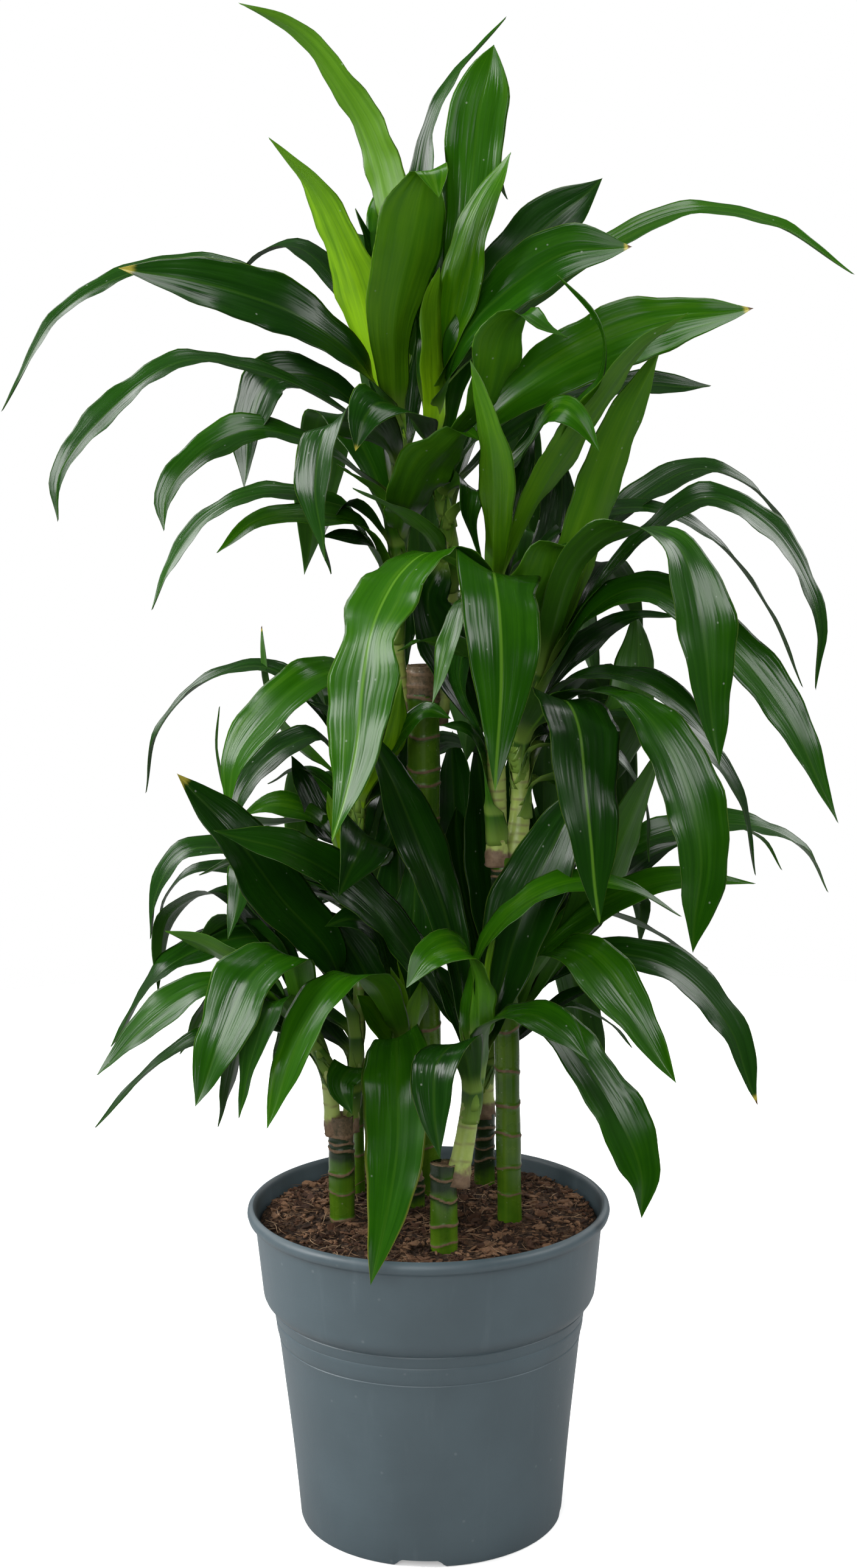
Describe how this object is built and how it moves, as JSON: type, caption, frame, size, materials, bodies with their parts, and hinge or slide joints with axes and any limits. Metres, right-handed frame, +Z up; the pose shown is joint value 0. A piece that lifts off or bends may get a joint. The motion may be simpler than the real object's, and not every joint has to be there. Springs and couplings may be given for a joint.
{
  "type": "potted corn plant",
  "caption": "Free-standing corn plant: upright canes cut to different heights, each with heads of long arching strap leaves, in a tapered nursery pot filled with bark soil.",
  "frame": {"origin": "on the pot's axis, on the surface that the pot stands on", "axes": "+Z up along the canes, -Y towards the front, +X to the right as seen from the front"},
  "size_m": [0.618, 0.4007, 1.116],
  "materials": {
    "pot": "satin blue-grey moulded plastic with faint turning lines",
    "soil": "dry crumbly bark and coir potting mix",
    "cane": "green bark with brown leaf scars and a sawn, waxed end",
    "leaf": "waxy green strap leaves with a paler midrib and margin"
  },
  "bodies": {
    "root": {"pot": "pot", "soil": "soil", "cane_left": "cane", "cane_thin": "cane", "cane_front": "cane", "cane_right": "cane", "cane_back": "cane", "cane_tall": "cane", "cane_stub": "cane", "leafy_head_top_left": "leaf", "leafy_head_top_right": "leaf", "leafy_head_right": "leaf", "leafy_head_mid_left": "leaf", "leafy_head_left": "leaf", "leafy_head_left_inner": "leaf", "leafy_head_centre": "leaf", "leafy_head_front": "leaf", "leafy_head_low_right": "leaf"}
  },
  "joints": []
}
